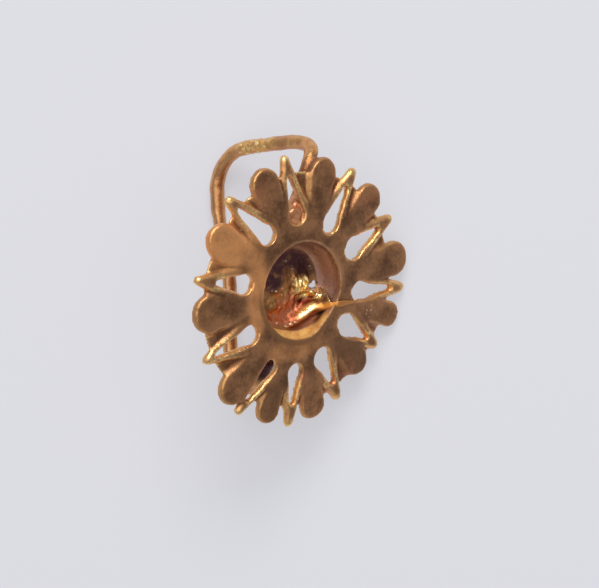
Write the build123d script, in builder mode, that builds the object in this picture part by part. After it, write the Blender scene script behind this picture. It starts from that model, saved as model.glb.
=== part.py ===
"""Disc earring: a pierced gold rosette with a central cup and a soldered ear hook, lying on its hook."""
from build123d import *
import os
from collections import namedtuple
from math import acos, asin, cos, degrees, radians, sin, sqrt, tan

os.makedirs("parts", exist_ok=True)

# Driving dimensions, in millimetres and degrees. The disc is drawn face up, centred on
# the origin, with 12 o'clock along +Y, and is turned into its lying place at the end.
disc_radius = 7.15          # centre to the mean circle of the tips
plate_thickness = 0.42
petal_lean = 4.5            # how far petals and rays slope back from the hub
hub_radius = 3.6            # outer edge of the plain ring round the cup
web_radius = 6.15           # petals and rays are joined out to here
groove_depth = 0.27         # valleys cut between petals and rays
groove_flank = 42.0         # slope of their sides, from upright
petal_root_radius = 0.30    # half the flat width of a petal where it leaves the hub
petal_bevel = 0.05          # worn edge round a petal's flat
ray_root_distance = 4.25    # round inner end of a ray, from the disc's centre
ray_ridge = 0.09            # flat left on a ray's leg between its opening and its flank
ray_tip_ridge = 0.07        # half the flat width at a ray's point
ray_tip_radius = 0.22       # round outer end of a ray, seen from the front
eye_tip_radius = 0.07       # narrow end of a ray's opening, at the back
eye_taper = 16.0            # the openings widen towards the front

cup_mouth_radius = 2.55
cup_floor_radius = 2.1      # where wall and floor would meet without their rounding
cup_corner_radius = 0.85    # rounding between wall and floor, inside
cup_depth = 1.55            # front of the hub to the cup's floor
cup_wall = 0.25
lip_height = 0.05
lip_width = 0.2

wire_diameter = 0.75
hook_depth = 7.4            # hub's front to the centre line of the hook's rear leg
solder_bite = 0.165         # how far the wire's end is let into the solder and the hub's back
solder_radius = 0.62        # cone of solder between the hub and the wire, inside the hub's back
solder_neck = 0.45          # its radius at the wire
bend_share = 0.45           # share of the shorter run that each bend of the wire takes

lining_thickness = 0.12     # crumpled gold sheet lying loose in the cup
lining_gap = 0.05           # between the lining and the cup or the lip
fold_angle = 8.0            # the lining's long fold, from the disc's X axis
fold_offset = 1.42          # distance of the fold from the cup's centre
curl_width = 0.3            # edge of the sheet turned down beyond the fold
crumple_height = 0.31       # foot of the fold above the cup's floor, where it is lowest by the wall
tongue_width = 0.36         # strip of the lining bent out over the lip, along the disc's X axis
tongue_offset = 1.12        # its middle, below the cup's centre
tongue_reach = 0.85         # how far it lies on the hub, beyond the lip
tongue_fall = 0.2           # run over which it comes down from the lip to the hub
tear_angle = 263.0          # small hole torn through the cup's lower corner and the lining
tear_reach = 1.85           # its middle, from the cup's centre
tear_height = 0.1           # its middle above the cup's floor
tear_radius = 0.2

# Petals, anticlockwise from 12 o'clock as seen from the front.
# reach: tip from the centre, and width: widest place, both as shares of disc_radius.
Petal = namedtuple("Petal", "angle reach width")
petals = [
    Petal(20.3, 1.000, 0.245),
    Petal(56.5, 0.975, 0.270),
    Petal(93.2, 0.960, 0.280),
    Petal(137.0, 0.995, 0.259),
    Petal(161.6, 0.998, 0.190),
    Petal(188.5, 0.992, 0.204),
    Petal(221.0, 0.925, 0.212),
    Petal(249.5, 1.000, 0.192),
    Petal(275.8, 1.030, 0.262),
    Petal(310.8, 0.985, 0.226),
    Petal(344.5, 0.972, 0.236),
]
touching_petal = petals[7]  # its tip touches what the earring lies on

# Rays, each following the petal of the same row. root_angle: where its opening starts,
# tip_angle: its point. reach, eye_start, eye_end and eye_width are shares of disc_radius.
Ray = namedtuple("Ray", "root_angle tip_angle reach eye_start eye_end eye_width")
rays = [
    Ray(34.5, 39.6, 1.005, 0.560, 0.865, 0.175),
    Ray(76.5, 77.2, 0.960, 0.550, 0.775, 0.175),
    Ray(118.5, 115.2, 0.950, 0.545, 0.840, 0.175),
    Ray(151.5, 147.0, 1.005, 0.600, 0.870, 0.135),
    Ray(175.0, 175.8, 1.010, 0.605, 0.835, 0.155),
    Ray(200.5, 203.8, 0.960, 0.570, 0.800, 0.185),
    Ray(233.0, 234.1, 0.926, 0.540, 0.780, 0.195),
    Ray(260.5, 262.0, 1.013, 0.555, 0.865, 0.175),
    Ray(295.5, 294.3, 0.975, 0.552, 0.800, 0.195),
    Ray(329.0, 326.6, 0.970, 0.540, 0.815, 0.175),
    Ray(363.5, 366.5, 1.005, 0.570, 0.835, 0.165),
]

# The ear hook's wire, from its soldered end over the top and down to the tail.
# across and up are shares of disc_radius, back is a share of the way from the solder to hook_depth.
Bend = namedtuple("Bend", "across up back")
hook_bends = [
    Bend(-0.036, 0.528, 0.000),
    Bend(0.184, 0.917, 0.055),
    Bend(0.274, 0.992, 0.138),
    Bend(0.259, 1.003, 0.293),
    Bend(0.176, 0.931, 0.617),
    Bend(0.107, 0.858, 0.889),
    Bend(0.060, 0.648, 1.025),
    Bend(0.038, 0.371, 0.973),
    Bend(0.028, -0.118, 0.799),
    Bend(-0.044, -0.534, 0.730),
    Bend(-0.064, -0.754, 0.669),
    Bend(-0.050, -0.847, 0.519),
    Bend(-0.049, -0.770, 0.377),
    Bend(-0.061, -0.571, 0.235),
]
rear_leg = (hook_bends[7], hook_bends[9])   # the wire touches what the earring lies on at these bends

# Sections across the lining's fold, from the rim to the far wall. along is a share of
# cup_mouth_radius, and the others are heights above the floor: the crest of the fold as a share
# of cup_depth, and as shares of crumple_height the foot beside it, the ridge of the crumple,
# the hollow behind it and the far edge.
Section = namedtuple("Section", "along crest foot ridge hollow edge")
lining_sections = [
    Section(1.05, 1.20, 3.50, 2.50, 1.50, 2.50),
    Section(0.75, 1.17, 1.00, 2.10, 0.70, 2.25),
    Section(0.40, 0.74, 0.75, 1.60, 0.90, 1.20),
    Section(0.00, 0.52, 1.00, 0.70, 0.65, 1.70),
    Section(-0.45, 0.34, 0.65, 1.00, 0.65, 1.10),
    Section(-0.90, 0.24, 0.80, 0.65, 0.80, 1.50),
]
lining_stations = (0.0, 0.35, 0.75, 1.2, 1.8)   # across the fold, as shares of cup_mouth_radius

wire_radius = wire_diameter / 2
cutter_excess = 0.2         # how far cutters pass the faces that they cut
sheet_share = 1.15          # the sheet is turned this much wider than the tips, then cut to their outline
ray_wall_share = 0.7        # the outline leaves this share of a flank beside each ray


def at(angle, radius, height=0.0):
    """Point at an angle from 12 o'clock and a distance from the disc's centre."""
    turn = radians(angle)
    return Vector(-radius * sin(turn), radius * cos(turn), height)


def front(angle, radius):
    """Point on the front face, which slopes back outside the hub."""
    return at(angle, radius, -max(radius - hub_radius, 0) * tan(radians(petal_lean)))


def blade(start, end, start_radius, end_radius, lift=0.0):
    """Outline round two circles and the straight lines that touch both, lifted off its own plane."""
    along = end - start
    side = along.cross(Vector(0, 0, 1))
    tilt = asin((start_radius - end_radius) / along.length)
    lean = degrees(tilt)
    start_touch = Vector(start_radius * cos(tilt), start_radius * sin(tilt))
    end_touch = Vector(end_radius * cos(tilt), along.length + end_radius * sin(tilt))
    with BuildSketch(Plane(origin=start, x_dir=side, z_dir=side.cross(along)).offset(lift)) as flat:
        with BuildLine():
            CenterArc((0, 0), start_radius, 180 - lean, 180 + 2 * lean)
            Line(start_touch, end_touch)
            CenterArc((0, along.length), end_radius, lean, 180 - 2 * lean)
            Line((-end_touch.X, end_touch.Y), (-start_touch.X, start_touch.Y))
        make_face()
    return flat.sketch


def raised(start, end, start_radius, end_radius):
    """Island with sloping flanks that stands up from the valleys to the front face."""
    rise = groove_depth + (plate_thickness - groove_depth) / 2
    spread = rise * tan(radians(groove_flank))
    foot = blade(start, end, start_radius + spread, end_radius + spread, -rise)
    return extrude(foot, amount=rise, taper=groove_flank, mode=Mode.PRIVATE)


def petal_ends(petal, place):
    """Round ends of a petal: two points and the radius of the outer one."""
    tip_radius = petal.width * disc_radius / 2
    root = place(petal.angle, hub_radius - petal_root_radius)
    return root, place(petal.angle, petal.reach * disc_radius - tip_radius), tip_radius


def ray_ends(ray, place):
    """Round ends of a ray: two points and the flat radius of the inner one."""
    tip = place(ray.tip_angle, ray.reach * disc_radius - ray_tip_radius)
    return place(ray.root_angle, ray_root_distance), tip, ray.eye_width * disc_radius / 2 + ray_ridge


def eye_cutter(ray):
    """Tapered teardrop through a ray, wider at the front than at the back."""
    height = plate_thickness + 2 * cutter_excess
    narrowing = (plate_thickness + cutter_excess) * tan(radians(eye_taper))
    round_end = ray.eye_width * disc_radius / 2 - narrowing
    start = front(ray.root_angle, ray.eye_start * disc_radius)
    eye_angle = ray.root_angle + (ray.tip_angle - ray.root_angle) * ray.eye_end / ray.reach
    end = front(eye_angle, ray.eye_end * disc_radius)
    foot = blade(start, end, round_end, eye_tip_radius, -plate_thickness - cutter_excess)
    return extrude(foot, amount=height, taper=-eye_taper, mode=Mode.PRIVATE)


def bowl_line(wall):
    """Line from the middle of the cup's floor up its wall, this far outside the hollow."""
    return FilletPolyline(
        (0, -cup_depth - wall), (cup_floor_radius + wall, -cup_depth - wall),
        (cup_mouth_radius + wall, -plate_thickness), radius=cup_corner_radius + wall,
    )


def hook_point(bend):
    """Point of the wire's route, behind the disc."""
    seat = plate_thickness + wire_radius - solder_bite
    return Vector(bend.across * disc_radius, bend.up * disc_radius, -seat - bend.back * (hook_depth - seat))


def bend_radii(points):
    """Largest arcs that the runs on both sides of each bend leave room for."""
    radii = []
    for before, corner, after in zip(points, points[1:], points[2:]):
        half_turn = radians((corner - before).get_angle(after - corner)) / 2
        shorter = min((corner - before).length, (after - corner).length)
        radii.append(bend_share * shorter / tan(half_turn))
    return radii


def upright_from(top, foot, point):
    """Direction that points straight up when the hook's leg and one point of the rosette lie level."""
    leg = (foot - top).normalized()
    reach = top - point
    away = reach - leg * reach.dot(leg)
    turn = degrees(acos(wire_radius / away.length))
    return away.normalized().rotate(Axis((0, 0, 0), leg), -turn)


petal_islands = []
petal_outlines = []
for petal in petals:
    root, tip, tip_radius = petal_ends(petal, front)
    petal_islands.append(raised(root, tip, petal_root_radius, tip_radius - petal_bevel))
    root, tip, tip_radius = petal_ends(petal, at)
    petal_outlines.append(blade(root, tip, petal_root_radius + petal_bevel, tip_radius))

ray_islands = []
ray_outlines = []
ray_wall = ray_wall_share * groove_depth * tan(radians(groove_flank))
for ray in rays:
    root, tip, root_radius = ray_ends(ray, front)
    ray_islands.append(raised(root, tip, root_radius, ray_tip_ridge))
    root, tip, root_radius = ray_ends(ray, at)
    ray_outlines.append(blade(root, tip, root_radius + ray_wall, ray_tip_radius))

eye_cutters = [eye_cutter(ray) for ray in rays]

with BuildSketch() as rosette_outline:
    Circle(web_radius)
    add(petal_outlines)
    add(ray_outlines)

edge_radius = disc_radius * sheet_share
edge_drop = (edge_radius - hub_radius) * tan(radians(petal_lean))

tear_middle = at(tear_angle, tear_reach, tear_height - cup_depth)
tear_plane = Plane(origin=tear_middle, z_dir=Vector(0, 0, 1) - at(tear_angle, 1))

with BuildPart() as rosette:
    with BuildSketch(Plane.XZ) as sheet_section:
        Polygon(
            (0, 0), (hub_radius, 0), (hub_radius, -groove_depth), (edge_radius, -edge_drop - groove_depth),
            (edge_radius, -edge_drop - plate_thickness), (hub_radius, -plate_thickness), (0, -plate_thickness),
            align=None,
        )
    revolve(axis=Axis.Z)
    add(petal_islands)
    add(ray_islands)
    with BuildSketch(Plane.XY.offset(-plate_thickness - edge_drop)):
        add(rosette_outline.sketch)
    extrude(amount=plate_thickness + edge_drop, mode=Mode.INTERSECT)
    add(eye_cutters, mode=Mode.SUBTRACT)
    with BuildSketch(Plane.XZ) as cup_section:
        with BuildLine():
            bowl_line(cup_wall)
            Polyline(
                (cup_mouth_radius + cup_wall, -plate_thickness), (cup_mouth_radius + lip_width, 0),
                (cup_mouth_radius + lip_width / 2, lip_height), (0, lip_height), (0, -cup_depth - cup_wall),
            )
        make_face()
    revolve(axis=Axis.Z)
    with BuildSketch(Plane.XZ) as hollow_section:
        with BuildLine():
            bowl_line(0)
            Polyline(
                (cup_mouth_radius, -plate_thickness), (cup_mouth_radius, lip_height + cutter_excess),
                (0, lip_height + cutter_excess), (0, -cup_depth),
            )
        make_face()
    revolve(axis=Axis.Z, mode=Mode.SUBTRACT)
    with BuildSketch(tear_plane):
        Circle(tear_radius)
    extrude(amount=2 * cup_wall + cutter_excess, both=True, mode=Mode.SUBTRACT)

hook_points = [hook_point(bend) for bend in hook_bends]

with BuildPart() as wire:
    with BuildLine() as wire_path:
        FilletPolyline(*hook_points, radius=bend_radii(hook_points))
    with BuildSketch(wire_path.line ^ 0):
        Circle(wire_radius)
    sweep(path=wire_path.line)
    with Locations(wire_path.line ^ 0, wire_path.line ^ 1):
        Sphere(wire_radius)
    with Locations(hook_points[0]):
        Cone(solder_neck, solder_radius, wire_radius, align=(Align.CENTER, Align.CENTER, Align.MIN))

fold_plane = Plane(
    origin=Vector(0, -fold_offset, -cup_depth).rotate(Axis.Z, fold_angle),
    x_dir=Vector(0, 1, 0).rotate(Axis.Z, fold_angle),
    z_dir=Vector(1, 0, 0).rotate(Axis.Z, fold_angle),
)
tongue_plane = Plane(origin=(0, -tongue_offset, -cup_depth), x_dir=(1, 0, 0), z_dir=(0, -1, 0))
room_radius = cup_mouth_radius - lining_gap
room_top = lip_height + lining_gap + lining_thickness + cutter_excess
rim_along = sqrt(cup_mouth_radius ** 2 - tongue_offset ** 2)
lip_along = sqrt((cup_mouth_radius + lip_width) ** 2 - (tongue_offset - tongue_width / 2) ** 2)
tongue_end = lip_along + tongue_reach

with BuildPart() as lining:
    for section in lining_sections:
        low_heights = (section.foot, section.ridge, section.hollow, section.edge)
        heights = [section.crest * cup_depth] + [share * crumple_height for share in low_heights]
        top = [(-curl_width, (heights[0] + heights[1]) / 2)]
        top += [(share * cup_mouth_radius, height) for share, height in zip(lining_stations, heights)]
        under = [(across, height - lining_thickness) for across, height in reversed(top)]
        with BuildSketch(fold_plane.offset(section.along * cup_mouth_radius)):
            Polygon(*top, *under, align=None)
    loft(ruled=True)
    with BuildSketch(Plane.XZ) as room_section:
        with BuildLine():
            bowl_line(-lining_gap)
            Polyline(
                (room_radius, -plate_thickness), (room_radius, room_top),
                (0, room_top), (0, lining_gap - cup_depth),
            )
        make_face()
    revolve(axis=Axis.Z, mode=Mode.INTERSECT)
    with BuildSketch(tongue_plane):
        over_lip = cup_depth + lip_height + lining_gap
        on_hub = cup_depth + lining_gap
        bottom = [(rim_along - tongue_width, over_lip), (lip_along, over_lip)]
        bottom += [(lip_along + tongue_fall, on_hub), (tongue_end, on_hub)]
        above = [(along, height + lining_thickness) for along, height in reversed(bottom)]
        Polygon(*bottom, *above, align=None)
    extrude(amount=tongue_width / 2, both=True)
    with BuildSketch(tear_plane):
        Circle(tear_radius + lining_gap)
    extrude(amount=cup_depth / 2, mode=Mode.SUBTRACT)

# The earring lies on the hook's rear leg and one petal's tip. Upright is the direction
# that is vertical then, and 12 o'clock stays along +Y as seen from above.
petal_reach = touching_petal.reach * disc_radius
petal_point = front(touching_petal.angle, petal_reach) - Vector(0, 0, plate_thickness)
leg_top, leg_foot = [wire_path.edges().sort_by_distance(hook_point(bend))[0] @ 0.5 for bend in rear_leg]
upright = upright_from(leg_top, leg_foot, petal_point)
turned = Plane(origin=(0, 0, 0), x_dir=Vector(0, 1, 0).cross(upright), z_dir=upright).location.inverse()
box = Compound([rosette.part, wire.part]).moved(turned).bounding_box()
lying = Location((-box.center().X, -box.center().Y, -box.min.Z)) * turned

with BuildPart() as disc_and_ear_hook:
    with Locations(lying):
        add(rosette.part)
        add(wire.part)
disc_and_ear_hook.part.label = "disc_and_ear_hook"
export_step(disc_and_ear_hook.part, "parts/disc_and_ear_hook.step")

with BuildPart() as cup_lining:
    with Locations(lying):
        add(lining.part)
cup_lining.part.label = "cup_lining"
export_step(cup_lining.part, "parts/cup_lining.step")
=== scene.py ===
"""Looks of the disc earring: worn, pierced gold with crumpled sheet in its cup, lying on a pale surface."""
from collections import namedtuple
from math import radians, tan

import bmesh
import bpy
import numpy as np
from mathutils import Matrix, Vector, noise


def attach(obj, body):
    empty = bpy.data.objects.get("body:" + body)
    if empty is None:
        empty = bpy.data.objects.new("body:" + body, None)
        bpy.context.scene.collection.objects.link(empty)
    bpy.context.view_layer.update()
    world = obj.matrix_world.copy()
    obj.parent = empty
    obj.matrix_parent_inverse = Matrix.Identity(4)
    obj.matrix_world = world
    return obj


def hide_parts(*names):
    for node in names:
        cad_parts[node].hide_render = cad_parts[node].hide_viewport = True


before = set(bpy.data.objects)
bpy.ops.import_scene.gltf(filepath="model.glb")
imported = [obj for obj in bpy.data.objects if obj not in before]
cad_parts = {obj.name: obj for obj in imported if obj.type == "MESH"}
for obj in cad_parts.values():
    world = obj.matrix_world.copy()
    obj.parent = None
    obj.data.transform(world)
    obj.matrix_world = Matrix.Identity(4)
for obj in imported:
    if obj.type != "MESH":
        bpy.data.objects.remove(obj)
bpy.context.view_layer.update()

# All lengths here are in millimetres and turned to metres where a mesh or a light is finished.
MM = 0.001

# The disc in its lying place: its centre, its front and its 12 o'clock direction.
disc_centre = Vector((0.1428, -0.5479, 5.2768))
disc_front = Vector((0.6364, -0.1875, 0.7475)).normalized()
disc_up = disc_front.cross(Vector((1.0, 0.0, 0.0))).normalized()
disc_side = disc_up.cross(disc_front)
disc_axes = np.array([disc_side, disc_up, disc_front])

# Sizes of the disc, as modelled.
hub_radius = 3.6
petal_lean = 4.5
petal_root_radius = 0.3
plate_thickness = 0.42
groove_depth = 0.27
cup_mouth_radius = 2.55
cup_depth = 1.55
cup_underside = 1.9             # the cup's outside reaches this far behind the hub's front
behind_cup_weight = 9           # a place behind it counts this many times as far from the cup

# Round heads of the petals: direction in degrees, anticlockwise from 12 o'clock,
# distance of their middle from the disc's centre, and radius.
petal_heads = (
    (20.3, 6.27, 0.88), (56.5, 6.01, 0.97), (93.2, 5.86, 1.00), (137.0, 6.19, 0.93),
    (161.6, 6.46, 0.68), (188.5, 6.36, 0.73), (221.0, 5.86, 0.76), (249.5, 6.46, 0.69),
    (275.8, 6.43, 0.94), (310.8, 6.23, 0.81), (344.5, 6.11, 0.84),
)

# Opening above the solder: its inner end, its outer end and the radius at each.
solder_opening = ((-0.25, 4.07), (-0.62, 5.94), 0.53, 0.12)
solder_middle = (-0.26, 3.85)

# Wear of the soldered gold.
gold_voxel = 0.0765
gold_smoothing = 3
valley_full_radius = 5.9        # the valleys fade towards the hub from here
valley_left_at_hub = 0.12       # share of their depth that is left there
outline_wander = 0.06           # petals and rays leave their drawn outlines by up to this much
outline_lumps = 0.9             # waves of that to a millimetre
ray_leg_growth = 0.055          # the rays' legs are this much fuller on each side
solder_swelling = 0.06          # the solder stands up this far in its opening
mouth_dent = 0.22               # the cup's mouth is pressed inwards this far
mouth_dent_angle = -43          # in this direction, in degrees from the disc's side
fine_crest = 0.025              # height over the smoothed surface that counts as a sharp edge
broad_crest = 0.075             # the same over a wider stretch

# Uneven skin of the gold: waves to a millimetre, seed of the noise, its height on the disc,
# and what is added on the wire and on the wire's crown.
skin_layers = (
    (0.8, 3.0, 0.030, 0.020, 0.0),
    (2.2, 5.0, 0.014, 0.016, 0.0),
    (4.5, 9.0, 0.006, 0.0, 0.034),
)

# The beaten stretch on the hook's crown, lighter by a painted highlight, seen from above: its middle and
# half sizes.
wire_crown = ((-2.3, 7.1), (1.5, 0.9))

# Top edge of the bare crescent of the cup's wall below the sheet: across, and up.
crescent_across = (-0.5, 0.13, 0.82, 1.67, 2.4)
crescent_up = (-1.20, -0.93, -0.83, -0.60, -0.35)

# Soft patches on the gold: across, up, half size across, half size up, and strength.
pitted_patches = (
    (4.66, -1.75, 0.62, 0.55, 1.0), (-3.55, 3.55, 0.50, 0.70, 1.0),
    (4.90, 2.60, 0.50, 0.50, 1.0), (-2.60, 4.60, 0.50, 0.90, 0.5),
)
# Rosy patches: painted light on the upper-left petal, which tilts towards the light, and lighter orange
# patches left of and below the cup.
rosy_patches = (
    (-4.70, 3.20, 2.30, 2.00, 1.3), (-2.95, 0.30, 0.95, 3.20, 0.95), (-0.60, -3.05, 2.20, 0.80, 0.5),
)
blushing_patches = (
    (-2.50, 5.30, 0.80, 1.00, 1.0), (-3.15, 0.50, 0.50, 1.20, 1.0), (5.20, -3.20, 1.30, 0.90, 1.0),
    (0.10, -5.20, 0.50, 1.60, 1.0), (3.20, -4.90, 0.60, 1.20, 1.0), (4.40, 4.30, 1.20, 0.70, 1.0),
)
# Dim patches: painted shade that darkens the lower right and the bottom of the disc.
dim_patches = ((4.00, -4.30, 3.20, 2.80, 1.0), (-1.60, -5.80, 2.00, 1.60, 0.7))

# Crumpled sheet in the cup, in the disc's own frame.
sheet_spacing = 0.03
sheet_columns = 216
sheet_rows = 160
sheet_grid_middle = 0.85        # the grid's middle, across
sheet_thickness = 0.05
sheet_lift = 0.07               # the sheet lies this far over the cup's floor
sheet_reach = 2.3               # its edge, from the cup's centre
bowl_flat_radius = 1.52         # the cup's floor is flat out to here
bowl_corner_radius = 0.85
bowl_corner_share = 0.93        # share of that radius over which the corner rises
bowl_wall_slope = 2.5           # rise of the wall beyond it
nodule_height = 0.03
sharp_crease = 0.015            # height over the smoothed sheet that counts as a sharp crease

# The sheet's long fold, from the cup's lower wall up and over the lip: across, up, height.
fold_line = np.array([
    (-2.30, -0.50, -1.05),
    (-1.65, -1.40, -1.15),
    (-1.00, -1.86, -1.20),
    (-0.29, -2.09, -1.13),
    (0.10, -2.02, -1.03),
    (0.53, -1.82, -0.91),
    (1.00, -1.59, -0.83),
    (1.32, -1.37, -0.75),
    (1.48, -1.30, -0.66),
    (1.80, -1.28, -0.45),
    (2.02, -1.17, -0.12),
    (2.27, -1.07, 0.10),
    (2.69, -1.07, 0.14),
    (3.39, -1.09, 0.11),
    (4.10, -1.00, 0.05),
])
fold_face = 0.22                # width of the fold's bright face
fold_face_fall = 1.05           # how steeply that face falls
fold_flank_fall = 2.1           # how steeply the sheet falls beyond it
fold_curl = 0.50                # the sheet turns down this far beyond the fold's crest
fold_round = 0.13               # rounding of the crest where it turns down
fold_seam_sharpness = 9.0       # how tightly the fold's flank meets the sheet in the cup
tongue_start = 1.4              # the strip bent over the lip, across
tongue_end = 3.85
tongue_half_width = 0.19

# Lumps of the crumpled sheet: across, up, size across, size up, height.
sheet_lumps = (
    (0.62, 0.02, 0.15, 0.42, 0.34),
    (0.92, -0.02, 0.12, 0.34, 0.44),
    (1.20, -0.38, 0.32, 0.14, 0.34),
    (1.66, -0.62, 0.22, 0.20, 0.62),
    (1.42, 0.06, 0.10, 0.26, 0.22),
    (-0.10, 0.30, 0.42, 0.52, 0.16),
    (-0.75, -0.10, 0.40, 0.34, 0.20),
    (-0.95, -0.95, 0.50, 0.26, 0.22),
    (0.10, -0.62, 0.20, 0.45, 0.12),
    (0.48, -0.75, 0.14, 0.40, 0.14),
)

# Hole torn through the sheet, seen from above: the middles and half sizes of its two rounds.
tears = (((0.64, -0.31), (0.16, 0.14)), ((0.73, -0.12), (0.07, 0.17)))

# Small raised bumps on the sheet, coloured near-white as painted glints, seen from above: x, y, half width,
# half height and strength.
nodules_and_painted_glints = (
    (-1.20, -0.58, 0.08, 0.06, 0.9), (-0.91, -0.43, 0.07, 0.09, 0.8), (-0.95, -0.74, 0.06, 0.05, 0.7),
    (-1.20, -2.20, 0.08, 0.07, 0.9), (-0.45, -2.27, 0.11, 0.08, 1.0), (-0.68, -2.38, 0.14, 0.04, 0.8),
    (-0.20, -2.17, 0.14, 0.05, 0.7), (0.92, -0.73, 0.22, 0.17, 1.0), (-1.05, -1.40, 0.12, 0.04, 0.6),
    (0.12, -0.36, 0.05, 0.10, 0.5), (0.28, 0.05, 0.06, 0.12, 0.7), (0.38, -1.62, 0.22, 0.12, 0.8),
    (-0.73, 0.99, 0.06, 0.10, 0.4), (-0.37, 0.60, 0.09, 0.06, 0.4), (0.51, 0.75, 0.09, 0.06, 0.45),
    (-1.42, -0.55, 0.04, 0.05, 0.5), (-1.10, -1.05, 0.05, 0.04, 0.5), (-1.30, -1.20, 0.04, 0.07, 0.4),
    (0.56, 0.62, 0.05, 0.05, 0.3),
)

# Soft patches of colour on the sheet, seen from above: x, y, half width, half height and strength.
# The bright patches are painted highlights on the lumps by the tear.
bright_patches = (
    (0.12, -0.32, 0.55, 0.75, 1.0), (0.50, -0.58, 0.50, 0.30, 1.0),
    (0.95, -0.72, 0.42, 0.34, 1.0), (0.85, -0.35, 0.30, 0.30, 1.0),
)
red_patches = ((-0.35, -1.55, 1.10, 1.25, 1.0), (-1.10, -2.00, 0.90, 0.70, 0.6))
ember_patches = ((0.22, -1.02, 0.60, 0.36, 1.0), (-0.45, -2.00, 0.60, 0.40, 0.4))

# Picture: 599 by 588 pixels, 19.4 of them to a millimetre, seen from straight above.
picture_width = 599
pixels_per_mm = 19.4
picture_middle = Vector((-0.012, -0.703, 5.3))
camera_distance = 500.0
sensor_width = 36.0
floor_half_width = 2000.0
sky_strength = 0.42


class Signal:
    """A shader socket that does maths with other sockets and with numbers."""

    def __init__(self, paint, socket):
        self.paint = paint
        self.socket = socket

    def _math(self, operation, *values):
        return self.paint.node("ShaderNodeMath", {"operation": operation}, values)

    def __add__(self, other):
        return self._math("ADD", self, other)

    __radd__ = __add__

    def __mul__(self, other):
        return self._math("MULTIPLY", self, other)

    __rmul__ = __mul__

    def __sub__(self, other):
        return self._math("SUBTRACT", self, other)

    def __rsub__(self, other):
        return self._math("SUBTRACT", other, self)

    def most(self, other):
        return self._math("MAXIMUM", self, other)

    def step(self, start, end):
        """Smooth rise from 0 at start to 1 at end."""
        return self.paint.node(
            "ShaderNodeMapRange", {"interpolation_type": "SMOOTHSTEP"},
            {"Value": self, "From Min": start, "From Max": end},
        )


class Paint:
    """Node tree of one material."""

    def __init__(self, name):
        self.material = bpy.data.materials.new(name)
        self.material.use_nodes = True
        self.tree = self.material.node_tree
        self.shader = self.tree.nodes["Principled BSDF"]

    def node(self, kind, settings=None, inputs=(), output=0):
        """Adds a node, sets its settings, then its sockets by order or by name."""
        made = self.tree.nodes.new(kind)
        for name, value in (settings or {}).items():
            setattr(made, name, value)
        pairs = inputs.items() if isinstance(inputs, dict) else enumerate(inputs)
        for key, value in pairs:
            self.plug(value, made.inputs[key])
        return Signal(self, made.outputs[output])

    def plug(self, value, socket):
        if isinstance(value, Signal):
            self.tree.links.new(value.socket, socket)
        else:
            socket.default_value = value

    def place(self):
        """Object coordinates in millimetres."""
        where = self.node("ShaderNodeTexCoord", output=3)
        return self.node("ShaderNodeMapping", {}, {"Vector": where, "Scale": (1 / MM,) * 3})

    def noise(self, where, scale, detail, roughness=0.55):
        """Soft noise, 0 to 1, with about this many waves to a millimetre."""
        inputs = {"Vector": where, "Scale": scale, "Detail": detail, "Roughness": roughness}
        return self.node("ShaderNodeTexNoise", {}, inputs)

    def spots(self, where, scale):
        """Distance to the nearest of many scattered points, 0 to about 1."""
        return self.node("ShaderNodeTexVoronoi", {}, {"Vector": where, "Scale": scale})

    def attribute(self, name):
        """Values stored on the mesh's points."""
        return self.node("ShaderNodeAttribute", {"attribute_name": name}, output=2)

    def blend(self, factor, first, second):
        """Mix of two colours."""
        settings = {"data_type": "RGBA", "blend_type": "MIX", "clamp_factor": True}
        made = self.node("ShaderNodeMix", settings, {0: factor}, output=2)
        node = made.socket.node
        self.plug(first, node.inputs[6])
        self.plug(second, node.inputs[7])
        return made

    def bump(self, height, strength, distance):
        """Relief of the surface, its distance in millimetres."""
        inputs = {"Height": height, "Strength": strength, "Distance": distance * MM}
        return self.node("ShaderNodeBump", {}, inputs)

    def finish(self, **inputs):
        """Plugs the shader's own sockets and gives the material."""
        for name, value in inputs.items():
            self.plug(value, self.shader.inputs[name.replace("_", " ")])
        return self.material


def tint(red, green, blue):
    """Linear colour from the 0 to 255 values of a screen."""
    return tuple((value / 255) ** 2.2 for value in (red, green, blue)) + (1.0,)


def mesh_from_node(node):
    """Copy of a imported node's mesh in millimetres, with its loose triangles merged."""
    work = bmesh.new()
    work.from_mesh(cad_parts[node].data)
    bmesh.ops.scale(work, vec=(1 / MM,) * 3, verts=work.verts)
    bmesh.ops.remove_doubles(work, verts=work.verts, dist=0.0004)
    return work


def as_object(work, name):
    """Object at the origin made of a bmesh in millimetres."""
    mesh = bpy.data.meshes.new(name)
    work.to_mesh(mesh)
    work.free()
    thing = bpy.data.objects.new(name, mesh)
    bpy.context.scene.collection.objects.link(thing)
    return thing


def apply_modifiers(thing):
    """Gives the object the mesh that its modifiers make."""
    graph = bpy.context.evaluated_depsgraph_get()
    mesh = bpy.data.meshes.new_from_object(thing.evaluated_get(graph))
    thing.modifiers.clear()
    old = thing.data
    thing.data = mesh
    bpy.data.meshes.remove(old)


def coordinates(mesh):
    points = np.empty(len(mesh.vertices) * 3)
    mesh.vertices.foreach_get("co", points)
    return points.reshape(-1, 3)


def normals(mesh):
    values = np.empty(len(mesh.vertices) * 3)
    mesh.vertices.foreach_get("normal", values)
    return values.reshape(-1, 3)


def move_to(mesh, points):
    mesh.vertices.foreach_set("co", points.ravel())
    mesh.update()


def store(mesh, name, values):
    """Keeps one value for each vertex, for the material to read."""
    layer = mesh.attributes.new(name, "FLOAT", "POINT")
    layer.data.foreach_set("value", np.asarray(values, dtype=np.float32))


def to_disc(points):
    """Places in the disc's own frame: across, up and out of its front."""
    return (points - np.array(disc_centre)) @ disc_axes.T


def from_disc(local):
    return local @ disc_axes + np.array(disc_centre)


def ramp(start, end, values):
    """Smooth rise from 0 at start to 1 at end."""
    share = np.clip((values - start) / (end - start), 0, 1)
    return share * share * (3 - 2 * share)


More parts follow.
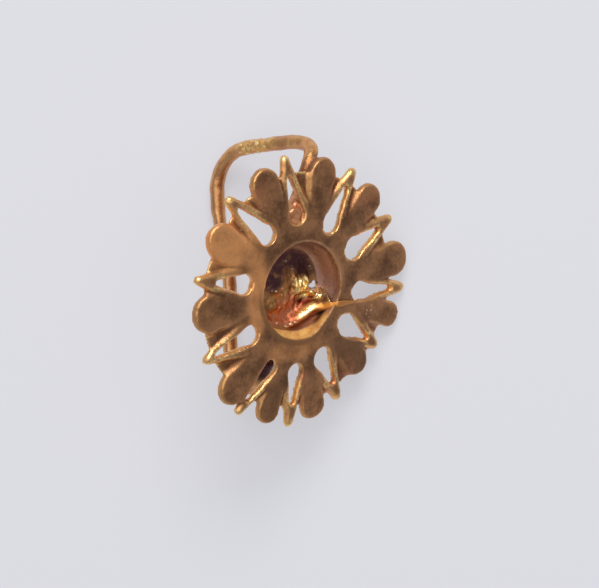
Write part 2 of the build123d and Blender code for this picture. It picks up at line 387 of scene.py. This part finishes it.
def fall(start, end, values):
    """Smooth fall from 1 at start to 0 at end."""
    return 1 - ramp(start, end, values)


def band(start, full, fading, end, values):
    """1 from full to fading, and 0 before start and after end."""
    return ramp(start, full, values) * fall(fading, end, values)


def patch(across, up, middle, size):
    """Soft round patch: 1 in its middle, 0 outside."""
    away = np.hypot((across - middle[0]) / size[0], (up - middle[1]) / size[1])
    return fall(0.4, 1.0, away)


def patches(across, up, rows):
    """Soft round patches together, at most 1. A row holds middle, half sizes and strength."""
    total = sum(strength * patch(across, up, (x, y), (wide, high)) for x, y, wide, high, strength in rows)
    return np.clip(total, 0, 1)


def neighbour_mean(mesh, values, rounds):
    """Values averaged along the mesh's edges, again and again."""
    edges = np.empty(len(mesh.edges) * 2, dtype=np.int64)
    mesh.edges.foreach_get("vertices", edges)
    first, second = edges[::2], edges[1::2]
    count = np.bincount(edges, minlength=len(mesh.vertices)).astype(float)
    result = values.reshape(len(count), -1).astype(float)
    for _ in range(rounds):
        total = np.stack([
            np.bincount(first, column[second], len(count)) + np.bincount(second, column[first], len(count))
            for column in result.T
        ], 1)
        result = (result + total) / (1 + count)[:, None]
    return result.reshape(values.shape)


def curvature(mesh, rounds):
    """Height of each vertex over its smoothed surface: positive on crests, negative in grooves."""
    points = coordinates(mesh)
    return ((points - neighbour_mean(mesh, points, rounds)) * normals(mesh)).sum(1)


def noise_values(points, scale, seed):
    """Soft noise from about -1 to 1 at each point."""
    shift = Vector((seed, seed * 1.7, seed * 2.3))
    return np.array([noise.noise(Vector(point) * scale + shift) for point in points])


def remesh(thing, size, smoothing):
    """Even mesh of small faces, with its edges worn round."""
    even = thing.modifiers.new("even", "REMESH")
    even.mode = "VOXEL"
    even.voxel_size = size
    worn = thing.modifiers.new("worn", "SMOOTH")
    worn.factor = 0.5
    worn.iterations = smoothing
    apply_modifiers(thing)


def finish_piece(thing, slot, material, *nodes):
    """Turns a piece to metres, shades it smooth and hands it to the frame."""
    thing.data.transform(Matrix.Scale(MM, 4))
    thing.data.shade_smooth()
    thing.data.materials.clear()
    thing.data.materials.append(material)
    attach(thing, "root")
    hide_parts(*nodes)


def front_height(radius):
    """Height of the disc's front face, which slopes back outside the hub."""
    return -np.maximum(radius - hub_radius, 0) * tan(radians(petal_lean))


def in_solder_opening(local):
    """Whether a place lies in the opening that shows the wire's solder."""
    start, end = np.array(solder_opening[0]), np.array(solder_opening[1])
    start_radius, end_radius = solder_opening[2:]
    along = np.clip((local[:, :2] - start) @ (end - start) / ((end - start) @ (end - start)), 0, 1)
    nearest = start + along[:, None] * (end - start)
    away = np.hypot(*(local[:, :2] - nearest).T)
    return away < start_radius + along * (end_radius - start_radius)


def fade_valleys(local):
    """The valleys between petals and rays start as nothing at the hub and deepen outwards."""
    radius = np.hypot(local[:, 0], local[:, 1])
    front = front_height(radius)
    depth = front - local[:, 2]
    deepening = ramp(hub_radius - 0.1, valley_full_radius, radius)
    left = valley_left_at_hub + (1 - valley_left_at_hub) * deepening
    eased = groove_depth * left
    upper = depth * left
    lower = eased + (depth - groove_depth) * (plate_thickness - eased) / (plate_thickness - groove_depth)
    new = np.where(depth < groove_depth, upper, lower)
    chosen = (depth > 0) & (depth < plate_thickness) & (radius > hub_radius - 0.2)
    chosen &= ~(in_solder_opening(local) & (depth > 0.12))
    local[:, 2] = np.where(chosen, front - new, local[:, 2])


def mouth_pressed(across, up):
    """How far the cup's mouth is pressed inwards, at its lower right."""
    turned = np.abs(np.degrees(np.arctan2(up, across)) - mouth_dent_angle)
    return mouth_dent * fall(5, 38, turned)


def press_mouth(local):
    """The dent in the cup's mouth, which dies out over the hub and down the wall."""
    across, up, out = local.T
    radius = np.hypot(across, up)
    share = band(2.0, 2.4, 2.7, 3.4, radius) * fall(0.25, 0.8, -out)
    local[:, :2] *= (1 - mouth_pressed(across, up) * share / np.maximum(radius, 0.1))[:, None]


def shape_disc(mesh):
    """Fades the valleys, dents the mouth and lets the outlines of petals and rays wander."""
    local = to_disc(coordinates(mesh))
    fade_valleys(local)
    press_mouth(local)
    radius = np.hypot(local[:, 0], local[:, 1])
    wander = outline_wander * ramp(hub_radius, 5.5, radius) * fall(0.6, 0.9, -local[:, 2])
    for axis, seed in ((0, 12.0), (1, 15.0)):
        local[:, axis] += wander * noise_values(local, outline_lumps, seed)
    move_to(mesh, from_disc(local))
    move_to(mesh, neighbour_mean(mesh, coordinates(mesh), 2))


def on_petals(across, up):
    """1 on the petals, 0 on rays and hub."""
    share = np.zeros_like(across)
    for angle, distance, size in petal_heads:
        tip = np.array((-np.sin(np.radians(angle)), np.cos(np.radians(angle))))
        along = np.clip(across * tip[0] + up * tip[1], hub_radius, distance)
        away = np.hypot(across - along * tip[0], up - along * tip[1])
        widening = (along - hub_radius) / (distance - hub_radius)
        wide = petal_root_radius + (size - petal_root_radius) * widening
        share = np.maximum(share, fall(0.1, 0.25, away - wide))
    return share


GoldPlaces = namedtuple("GoldPlaces", "points across up out radius depth wire crown petal")


def places_on_gold(mesh):
    """Where each vertex is on the disc, how deep behind its front, and how far on wire and petals."""
    points = coordinates(mesh)
    across, up, out = to_disc(points).T
    radius = np.hypot(across, up)
    depth = front_height(radius) - out
    past_cup = np.hypot(radius, np.maximum(-out - cup_underside, 0) * behind_cup_weight)
    wire = ramp(0.7, 0.95, depth) * ramp(3.1, 3.3, past_cup)
    crown = wire * patch(points[:, 0], points[:, 1], *wire_crown)
    return GoldPlaces(points, across, up, out, radius, depth, wire, crown, on_petals(across, up))


def roughen_gold(mesh, at):
    """Dents and lumps all over, solder that swells in its opening, and fuller legs of the rays."""
    facing = normals(mesh)
    swelling = sum(
        noise_values(at.points, scale, seed) * (height + on_wire * at.wire + on_crown * at.crown)
        for scale, seed, height, on_wire, on_crown in skin_layers
    )
    solder = patch(at.across, at.up, solder_middle, (0.5, 0.95)) * band(0.12, 0.2, 0.38, 0.5, at.depth)
    swelling += solder_swelling * solder
    legs = (1 - at.petal) * ramp(3.9, 4.4, at.radius) * (1 - at.wire) * fall(0.45, 0.6, at.depth)
    legs *= 1 - patch(at.across, at.up, solder_middle, (0.9, 0.9))
    front = np.array(disc_front)
    sideways = facing - np.outer(facing @ front, front)
    move_to(mesh, at.points + facing * swelling[:, None] + sideways * (ray_leg_growth * legs)[:, None])


def mark_edges(mesh, at, turn, lip, lip_low, in_cup):
    """Sharp edges, broad swells and the flanks that turn away from the front."""
    sharp = np.clip(curvature(mesh, 4) / fine_crest, -1, 1)
    store(mesh, "crest", sharp * (1 - 0.8 * lip) * (1 - lip_low) * (1 - 0.6 * at.petal))
    store(mesh, "broad", np.clip(curvature(mesh, 20) / broad_crest, -1, 1))
    flank = fall(0.82, 0.985, turn) * (1 - in_cup)
    store(mesh, "flank", flank * (1 - 0.7 * lip) * (1 - 0.5 * at.petal))


def mark_wire(mesh, at):
    """The wire, its beaten crown with a painted highlight, its free end darkened by painted shade, and the
    solder in its opening.
    """
    store(mesh, "wire", at.wire)
    store(mesh, "crown", at.crown)
    store(mesh, "tail", at.wire * band(2.6, 4.3, 4.9, 5.7, -at.up) * fall(3.4, 5.0, at.depth))
    solder = patch(at.across, at.up, (-0.34, 4.25), (1.0, 1.6))
    store(mesh, "solder", solder * band(0.1, 0.2, 0.9, 1.3, at.depth))


def mark_cup(mesh, at, rim, lip_low, in_cup):
    """The cup's inside with its bare crescent, which takes painted light, the painted shade below it and on
    the lower rim, its lip's painted highlight, and the spun rings round it.
    """
    store(mesh, "cup", in_cup)
    low = in_cup * ramp(0.5, 1.7, -at.up) * fall(1.65, 2.0, at.across)
    above_sheet = ramp(-0.1, 0.1, at.out - np.interp(at.across, crescent_across, crescent_up))
    store(mesh, "cup_low", low * above_sheet)
    store(mesh, "cup_gap", low * (1 - above_sheet))
    store(mesh, "from_mouth", rim - cup_mouth_radius)
    store(mesh, "spun", band(2.6, 2.7, 3.0, 3.4, rim) * fall(0.2, 0.4, at.depth))
    ring = band(cup_mouth_radius - 0.08, cup_mouth_radius, 2.64, 2.74, rim) * fall(0.2, 0.3, at.depth)
    store(mesh, "lip", ring * ramp(0.0, 1.6, at.across + 0.5 * at.up) * 0.35)
    store(mesh, "rim_low", lip_low * (1 - in_cup))


def mark_stains_and_painted_light(mesh, at, in_cup):
    """The plate's back, and the pitted, rosy, blushing and dim patches of its front: the pits' rims take
    painted glints, the rosy patches painted light, the dim patches painted shade.
    """
    plate = (1 - at.wire) * (1 - in_cup)
    store(mesh, "behind", ramp(0.35, 0.6, at.depth) * plate)
    at_front = fall(0.3, 0.5, at.depth)
    store(mesh, "pits", patches(at.across, at.up, pitted_patches) * at_front)
    store(mesh, "rosy", patches(at.across, at.up, rosy_patches) * at_front * (1 - in_cup))
    store(mesh, "blush", patches(at.across, at.up, blushing_patches) * plate)
    store(mesh, "dim", patches(at.across, at.up, dim_patches) * plate)


def mark_gold(mesh, at):
    """Values on the gold's points that steer its colours."""
    side, top, turn = (normals(mesh) @ disc_axes.T).T
    outward = (side * at.across + top * at.up) / np.maximum(at.radius, 0.01)
    rim = at.radius + mouth_pressed(at.across, at.up)
    lip = band(cup_mouth_radius - 0.15, cup_mouth_radius, 2.8, 2.95, rim) * fall(0.3, 0.5, at.depth)
    lip_low = lip * ramp(-0.6, 0.6, -at.up)
    in_cup = fall(cup_mouth_radius, cup_mouth_radius + 0.12, rim) * ramp(-0.05, 0.1, at.depth)
    in_cup *= fall(cup_depth + 0.05, cup_depth + 0.15, at.depth)
    in_cup *= ramp(-0.15, 0.2, np.maximum(turn, -outward))
    mark_edges(mesh, at, turn, lip, lip_low, in_cup)
    mark_wire(mesh, at)
    mark_cup(mesh, at, rim, lip_low, in_cup)
    mark_stains_and_painted_light(mesh, at, in_cup)


def make_rosette_and_hook():
    """The soldered gold: disc, cup and hook in one, with fading valleys, worn edges and a pitted wire."""
    thing = as_object(mesh_from_node("disc_and_ear_hook"), "rosette_and_hook")
    remesh(thing, gold_voxel, gold_smoothing)
    shape_disc(thing.data)
    at = places_on_gold(thing.data)
    roughen_gold(thing.data, at)
    mark_gold(thing.data, at)
    finish_piece(thing, "worn_gold", paint_worn_gold_and_painted_light(), "disc_and_ear_hook")


def gold_ground(paint, mottle, bloom):
    """Brown flats, partly patina and partly painted shade, gold flanks that are painted light, gold wire,
    and the patches that redden them or add painted light and painted shade.
    """
    wire = paint.attribute("wire")
    # The flats' brown is partly patina and partly painted shade; the lighter gold of the flanks is painted
    # light.
    flat = paint.blend(mottle, tint(169, 121, 84), tint(104, 73, 52))
    # Dim patches: painted shade on the flats at the lower right.
    flat = paint.blend(paint.attribute("dim") * 0.7, flat, tint(112, 82, 58))
    gold = paint.blend(mottle, tint(240, 180, 112), tint(150, 100, 68))
    gold = paint.blend(bloom.step(0.42, 0.66) * 0.6, gold, tint(196, 136, 106))
    # Flanks turned away from the front take the lighter gold: painted light.
    colour = paint.blend(paint.attribute("flank").most(wire), flat, gold)
    blush = paint.attribute("blush") * bloom.step(0.35, 0.65)
    colour = paint.blend(blush * 0.4, colour, tint(184, 114, 86))
    # Rosy patches: painted light, strongest on the upper-left petal that tilts towards the light.
    colour = paint.blend(paint.attribute("rosy") * (1.1 - 0.5 * mottle), colour, tint(232, 162, 104))
    colour = paint.blend(wire * 0.5, colour, tint(192, 138, 100))
    # The crown's lighter gold is a painted highlight.
    return paint.blend(paint.attribute("crown") * (1.0 - mottle) * 0.8, colour, tint(236, 182, 108))


def gold_edges(paint, colour, grain):
    """Sharp edges lighter, partly from wear and partly as painted highlights, brown in the grooves, and a
    painted highlight on the mouth's lip.
    """
    crest = paint.attribute("crest")
    # Edges lighter: partly wear, partly painted highlights.
    edge_wear_and_painted_highlights = crest.step(0.3, 0.95) * (0.18 + 0.72 * grain.step(0.44, 0.6))
    colour = paint.blend(edge_wear_and_painted_highlights, colour, tint(250, 212, 142))
    colour = paint.blend((0.0 - paint.attribute("broad")).step(0.1, 0.7) * 0.6, colour, tint(126, 82, 54))
    colour = paint.blend((0.0 - crest).step(0.2, 0.9) * 0.5, colour, tint(122, 76, 44))
    # The lip: a painted highlight, stronger on one side.
    return paint.blend(paint.attribute("lip"), colour, tint(214, 164, 122))


def gold_cup(paint, colour, cloud, grain, bloom, spots):
    """Cup: a brown wall clouded with plum, specks of grime, painted light on the crescent below the sheet,
    and painted shade under it and on the lower rim.
    """
    cup = paint.attribute("cup")
    colour = paint.blend(cup * 0.85, colour, tint(200, 166, 148))
    plum = cup * (cloud + 0.3 * grain).step(0.5, 0.75)
    colour = paint.blend(plum * 0.5, colour, tint(156, 112, 112))
    # Painted light on the bare crescent.
    lit = paint.blend(bloom.step(0.35, 0.7), tint(250, 204, 124), tint(226, 166, 96))
    colour = paint.blend(paint.attribute("cup_low"), colour, lit)
    grime = cup * (0.17 - spots).step(0.0, 0.08)
    colour = paint.blend(grime * 0.6, colour, tint(84, 46, 42))
    # Painted shade on the wall below the crescent, under the fold.
    colour = paint.blend(paint.attribute("cup_gap") * 0.9, colour, tint(160, 104, 74))
    # Painted shade on the lower rim, in place of a highlight there.
    return paint.blend(paint.attribute("rim_low") * 0.9, colour, tint(144, 102, 70))


def gold_stains_and_painted_light(paint, colour, mottle, grain, bloom, spots):
    """The back's brown, the solder's pink, painted glints on the rims of pits, painted shade on the hook's
    free end, and fine dark grain.
    """
    colour = paint.blend(paint.attribute("behind") * (0.3 + 0.7 * mottle), colour, tint(140, 90, 58))
    soldered = paint.blend(bloom.step(0.4, 0.65), tint(222, 156, 112), tint(176, 116, 84))
    colour = paint.blend(paint.attribute("solder"), colour, soldered)
    # Painted glints on the rims of the pits.
    pitted = paint.attribute("pits") * (0.34 - spots).step(-0.02, 0.12)
    colour = paint.blend(pitted * 0.5, colour, tint(244, 184, 140))
    # Painted shade on the hook's free end.
    colour = paint.blend(paint.attribute("tail"), colour, tint(76, 48, 48))
    return paint.blend(grain.step(0.62, 0.8) * 0.35, colour, tint(92, 60, 42))


def gold_relief(paint, where, grain, spots, crown_facets_and_painted_glints):
    """Fine relief: grain, spun rings round the mouth, beaten facets on the crown, and pits."""
    speck = paint.noise(where, 16.0, 3.0, 0.6)
    rings = paint.node(
        "ShaderNodeTexNoise", {"noise_dimensions": "1D"},
        {"W": paint.attribute("from_mouth"), "Scale": 7.0, "Detail": 3.0},
    )
    skin = (grain * 0.5 + speck * 0.4) * (1.0 - 0.3 * paint.attribute("wire"))
    dimples = (0.32 - spots).step(0.0, 0.3) * paint.attribute("pits")
    relief = skin + rings * paint.attribute("spun") * 0.9 + crown_facets_and_painted_glints * 0.8 - dimples * 0.8
    return paint.bump(relief, 0.9, 0.034)


def paint_worn_gold_and_painted_light():
    """Brown on the flats, partly patina and partly painted shade; brighter gold on flanks as painted light,
    on edges as wear with painted highlights, and on the wire.
    """
    paint = Paint("worn_gold")
    where = paint.place()
    cloud = paint.noise(where, 0.8, 4.0)
    bloom = paint.noise(where, 2.3, 3.0)
    grain = paint.noise(where, 6.0, 6.0, 0.65)
    spots = paint.spots(where, 4.2)
    mottle = (cloud * 0.85 + grain * 0.4 - 0.2 * paint.attribute("broad")).step(0.42, 0.84)
    crown_facets_and_painted_glints = paint.attribute("crown") * (0.38 - paint.spots(where, 2.8)).step(0.0, 0.1)

    colour = gold_ground(paint, mottle, bloom)
    colour = gold_edges(paint, colour, grain)
    colour = gold_cup(paint, colour, cloud, grain, bloom, spots)
    colour = gold_stains_and_painted_light(paint, colour, mottle, grain, bloom, spots)
    # Painted glints on the crown's facets.
    colour = paint.blend(crown_facets_and_painted_glints * 0.85, colour, tint(255, 224, 158))

    wire = paint.attribute("wire")
    crescent = paint.attribute("cup_low")
    rough = 0.43 - 0.12 * paint.attribute("flank").most(wire) + 0.14 * (grain - 0.5)
    rough = rough - 0.1 * paint.attribute("crest").step(0.2, 0.8) - 0.18 * crown_facets_and_painted_glints - 0.05 * wire
    rough = rough + 0.1 * paint.attribute("rim_low") + 0.2 * crescent
    metal = 0.92 - 0.3 * crescent
    bump = gold_relief(paint, where, grain, spots, crown_facets_and_painted_glints)
    return paint.finish(Base_Color=colour, Metallic=metal, Roughness=rough, Normal=bump)


def bowl_height(radius):
    """Height of the cup's inside: a flat floor, a round corner and a steep wall."""
    corner_width = bowl_corner_radius * bowl_corner_share
    over = np.clip(radius - bowl_flat_radius, 0, corner_width)
    corner = bowl_corner_radius - np.sqrt(bowl_corner_radius ** 2 - over ** 2)
    wall = np.maximum(radius - bowl_flat_radius - corner_width, 0) * bowl_wall_slope
    return corner + wall - cup_depth


def fold_crest(across):
    """The fold's crest at a place across the disc: how far up it runs, and its height."""
    return np.interp(across, *fold_line[:, :2].T), np.interp(across, *fold_line[:, ::2].T)


def crumple(across, up, scale, seed):
    """Sharp creases between soft facets, from 0 to about 1."""
    values = np.array([
        noise.noise(Vector((x * scale, y * scale, seed))) for x, y in zip(across, up)
    ])
    return 1 - np.minimum(np.abs(values) * 3.2, 1)


def sheet_in_cup(across, up, inside):
    """Height of the sheet on the cup's floor: sunk at its upper edge, lumped and creased."""
    radius = np.hypot(across, up)
    base = bowl_height(np.minimum(radius, sheet_reach)) + sheet_lift
    base -= 0.28 * ramp(1.98, 2.2, radius) * ramp(-1.0, -0.6, up)
    lumps = np.zeros_like(across)
    for middle_across, middle_up, size_across, size_up, height in sheet_lumps:
        away = ((across - middle_across) / size_across) ** 2 + ((up - middle_up) / size_up) ** 2
        lumps += height * np.exp(-away)
    loose = 0.25 + 0.4 * ramp(-0.5, 0.6, -up) + patch(across, up, (1.0, -0.2), (1.0, 0.9))
    loose *= 1 - ramp(1.45, 1.75, radius) * ramp(-0.7, -0.2, up)
    creases = loose * (0.07 * crumple(across, up, 1.1, 4.0) + 0.05 * crumple(across, up, 2.6, 8.0))
    return base + (lumps + creases) * ramp(0.1, 0.5, inside)


def fold_flank(across, inside, crest_height):
    """Height of the fold's inner side: a bright face below the crest, then a steeper fall."""
    away = np.maximum(inside, 0)
    steep = fold_face_fall * (0.5 + 0.5 * ramp(0.15, 0.7, across))
    flank = crest_height - steep * (np.hypot(away, 0.07) - 0.07)
    past_face = (np.hypot(away - fold_face, 0.06) + away - fold_face) / 2
    return flank - (fold_flank_fall - fold_face_fall) * past_face


def sheet_height(across, up):
    """Height of the sheet over the disc's plane."""
    crest_up, crest_height = fold_crest(across)
    inside = up - crest_up
    base = sheet_in_cup(across, up, inside)
    flank = fold_flank(across, inside, crest_height)
    sharp = fold_seam_sharpness
    height = np.log(np.exp(sharp * base) + np.exp(sharp * flank)) / sharp
    over_lip = ramp(2.0, 2.5, across) * fall(0.2, 0.35, inside)
    height = height * (1 - over_lip) + crest_height * over_lip
    return height - (np.hypot(np.minimum(inside, 0), fold_round) - fold_round)


def in_sheet(across, up, points):
    """Whether a place of the grid belongs to the sheet: in the bowl or on the strip, and not torn."""
    inside = up - fold_crest(across)[0]
    flat = np.stack([across, up, across * 0], 1)
    edge_noise = noise_values(flat, 2.2, 6.0)
    tear_noise = noise_values(flat, 5.0, 3.0)
    in_bowl = np.hypot(across, up) < sheet_reach + 0.03 * edge_noise
    in_bowl &= inside > -fold_curl - 0.08 * edge_noise
    strip = tongue_half_width * (1 - 0.65 * ramp(2.3, tongue_end, across)) + 0.03 * edge_noise
    on_tongue = (across > tongue_start) & (across < tongue_end) & (np.abs(inside) < strip)
    torn = np.zeros(len(points), dtype=bool)
    for middle, size in tears:
        away = np.hypot((points[:, 0] - middle[0]) / size[0], (points[:, 1] - middle[1]) / size[1])
        torn |= away < 1 + 0.5 * tear_noise
    return (in_bowl | on_tongue) & ~torn


def cut_sheet(mesh, keep):
    """Cuts the sheet out of its grid, smooths it and turns its faces to the disc's front."""
    work = bmesh.new()
    work.from_mesh(mesh)
    work.verts.ensure_lookup_table()
    gone = [work.verts[index] for index in np.flatnonzero(~keep)]
    bmesh.ops.delete(work, geom=gone, context="VERTS")
    all_ways = {"use_axis_x": True, "use_axis_y": True, "use_axis_z": True}
    for _ in range(2):
        bmesh.ops.smooth_vert(work, verts=work.verts, factor=0.5, **all_ways)
    bmesh.ops.recalc_face_normals(work, faces=work.faces)
    if sum((face.normal for face in work.faces), Vector()).dot(disc_front) < 0:
        bmesh.ops.reverse_faces(work, faces=work.faces)
    work.to_mesh(mesh)
    work.free()


def sheet_grid():
    """Flat grid, wide enough for the sheet in the cup and the strip over its lip."""
    work = bmesh.new()
    bmesh.ops.create_grid(work, x_segments=sheet_columns, y_segments=sheet_rows, size=1.0)
    half_sizes = (sheet_columns * sheet_spacing / 2, sheet_rows * sheet_spacing / 2, 1)
    bmesh.ops.scale(work, vec=half_sizes, verts=work.verts)
    bmesh.ops.translate(work, vec=(sheet_grid_middle, 0, 0), verts=work.verts)
    return work


def mark_sheet(mesh, points, grain, nodule_and_painted_glint):
    """Values on the sheet's points that steer its colours."""
    east, north, _ = points.T
    across, up, _ = to_disc(points).T
    inside = up - fold_crest(across)[0]
    shade_noise = 0.1 * noise_values(points, 2.4, 7.0) + 0.03 * grain
    # Painted shade, mostly over the upper left of the sheet.
    shade = patch(east + shade_noise, north, (-0.42, 0.80), (1.72, 1.42))
    shade += patch(east, north + shade_noise, (-1.45, 0.0), (0.75, 1.0))
    shade += 0.6 * patch(east, north, (1.30, -0.85), (0.45, 0.3))
    shade *= 1 - 0.75 * patch(east, north, (-0.55, 0.15), (0.6, 0.7))
    painted_lump_highlight = patches(east, north, bright_patches)
    face = band(-0.06, 0.04, 0.16, 0.34, inside) * band(-0.2, 0.2, 0.6, 0.9, east)
    store(mesh, "crest", np.clip(curvature(mesh, 5) / sharp_crease, -1, 1))
    store(mesh, "dark", np.clip(shade, 0, 1))
    # Painted highlights on the lumps and on the fold's face.
    store(mesh, "bright", np.clip(painted_lump_highlight + face, 0, 1))
    store(mesh, "amber", band(-0.12, -0.02, 0.1, 0.26, inside) * ramp(1.5, 1.8, across))
    store(mesh, "roll", fall(-0.1, 0.0, inside) * fall(1.7, 2.3, across))
    store(mesh, "tongue", ramp(2.1, 2.5, across))
    store(mesh, "red", patches(east, north, red_patches))
    store(mesh, "ember", patches(east, north, ember_patches) * (1 - painted_lump_highlight))
    store(mesh, "nodule_and_painted_glint", nodule_and_painted_glint)


def make_cup_sheet():
    """Thin gold sheet crumpled in the cup: folded low down, torn, with a strip bent over the lip."""
    thing = as_object(sheet_grid(), "cup_sheet")
    across, up, _ = coordinates(thing.data).T
    points = from_disc(np.stack([across, up, sheet_height(across, up)], 1))
    move_to(thing.data, points)
    cut_sheet(thing.data, in_sheet(across, up, points))
    wall = thing.modifiers.new("thickness", "SOLIDIFY")
    wall.thickness = sheet_thickness
    wall.offset = -1
    apply_modifiers(thing)

    mesh = thing.data
    points = coordinates(mesh)
    grain = noise_values(points, 9.0, 2.0)
    east, north = points[:, 0] + 0.03 * grain, points[:, 1] - 0.04 * grain
    # Raised bumps, which also carry painted glints.
    nodule_and_painted_glint = sum(
        strength * patch(east, north, (x, y), (wide, high)) for x, y, wide, high, strength in nodules_and_painted_glints
    )
    move_to(mesh, points + normals(mesh) * (nodule_height * nodule_and_painted_glint)[:, None])
    mark_sheet(mesh, points, grain, np.clip(nodule_and_painted_glint, 0, 1))
    finish_piece(thing, "crumpled_gold", paint_crumpled_gold(), "cup_lining")


def paint_crumpled_gold():
    """Thin gold sheet: dark purple-brown painted shade, amber in the middle, orange-red by the fold, with
    painted highlights and painted glints.
    """
    paint = Paint("crumpled_gold")
    where = paint.place()
    cloud = paint.noise(where, 1.6, 4.0)
    grain = paint.noise(where, 7.0, 5.0, 0.6)
    shade_noise = paint.noise(where, 2.6, 4.0, 0.6)
    bright = paint.attribute("bright")
    amber = paint.attribute("amber")
    nodule_and_painted_glint = paint.attribute("nodule_and_painted_glint")
    colour = paint.blend(cloud.step(0.4, 0.65), tint(186, 134, 84), tint(140, 96, 62))
    colour = paint.blend(paint.attribute("red") * (0.75 + 0.4 * cloud), colour, tint(200, 120, 86))
    colour = paint.blend(paint.attribute("ember"), colour, tint(112, 48, 38))
    # Painted shade: dark purple-brown.
    colour = paint.blend(paint.attribute("dark") * shade_noise.step(0.1, 0.55), colour, tint(86, 56, 58))
    # Painted highlights on the lumps and the fold's face.
    colour = paint.blend(bright, colour, tint(255, 222, 150))
    colour = paint.blend(amber, colour, tint(216, 144, 70))
    colour = paint.blend(paint.attribute("roll") * 0.8, colour, tint(176, 122, 80))
    colour = paint.blend(paint.attribute("tongue") * 0.85, colour, tint(196, 138, 84))
    # Painted highlights on the sharp creases.
    colour = paint.blend(paint.attribute("crest").step(0.4, 1.0) * 0.3, colour, tint(250, 206, 130))
    # Painted glints on the raised bumps.
    colour = paint.blend(nodule_and_painted_glint * 0.85, colour, tint(255, 236, 200))
    rough = 0.36 + 0.2 * (grain - 0.5) + 0.2 * amber - 0.12 * bright - 0.1 * nodule_and_painted_glint
    bump = paint.bump(grain, 0.5, 0.03)
    return paint.finish(Base_Color=colour, Metallic=1.0, Roughness=rough, Normal=bump)


def make_floor():
    """Pale, plain surface that the earring lies on."""
    work = bmesh.new()
    bmesh.ops.create_grid(work, x_segments=1, y_segments=1, size=floor_half_width)
    floor = as_object(work, "floor")
    floor.data.transform(Matrix.Scale(MM, 4))
    paint = Paint("pale_floor")
    floor.data.materials.append(paint.finish(
        Base_Color=tint(140, 141, 146), Roughness=0.9,
        Emission_Color=tint(248, 248, 255), Emission_Strength=0.455,
    ))


def make_light(name, direction, distance, size, power, colour):
    """Round soft light that faces the disc."""
    lamp = bpy.data.lights.new(name, "AREA")
    lamp.shape = "DISK"
    lamp.size = size * MM
    lamp.energy = power
    lamp.color = colour
    thing = bpy.data.objects.new(name, lamp)
    towards = Vector(direction).normalized()
    thing.location = (disc_centre + towards * distance) * MM
    thing.rotation_mode = "QUATERNION"
    thing.rotation_quaternion = towards.to_track_quat("Z", "Y")
    bpy.context.scene.collection.objects.link(thing)


def make_sky():
    """Even, slightly cool light from all round."""
    world = bpy.data.worlds.new("studio")
    world.use_nodes = True
    bpy.context.scene.world = world
    background = world.node_tree.nodes["Background"]
    background.inputs["Color"].default_value = (0.93, 0.95, 1.0, 1)
    background.inputs["Strength"].default_value = sky_strength


def make_camera():
    """Camera straight above the earring, as far off as gives the photo's scale."""
    camera = bpy.data.objects.new("camera", bpy.data.cameras.new("camera"))
    camera.data.sensor_width = sensor_width
    camera.data.lens = sensor_width * camera_distance / (picture_width / pixels_per_mm)
    camera.location = (picture_middle + Vector((0, 0, camera_distance))) * MM
    bpy.context.scene.collection.objects.link(camera)
    bpy.context.scene.camera = camera


make_camera()
make_floor()
make_sky()
make_light("key", (0.02, 0.74, 0.67), 300.0, 170.0, 0.5, (1.0, 0.97, 0.93))
make_light("overhead", (-0.1, 0.15, 1.0), 900.0, 1400.0, 4.2, (1.0, 0.98, 0.96))
make_rosette_and_hook()
make_cup_sheet()
bpy.context.scene.view_settings.view_transform = "Standard"
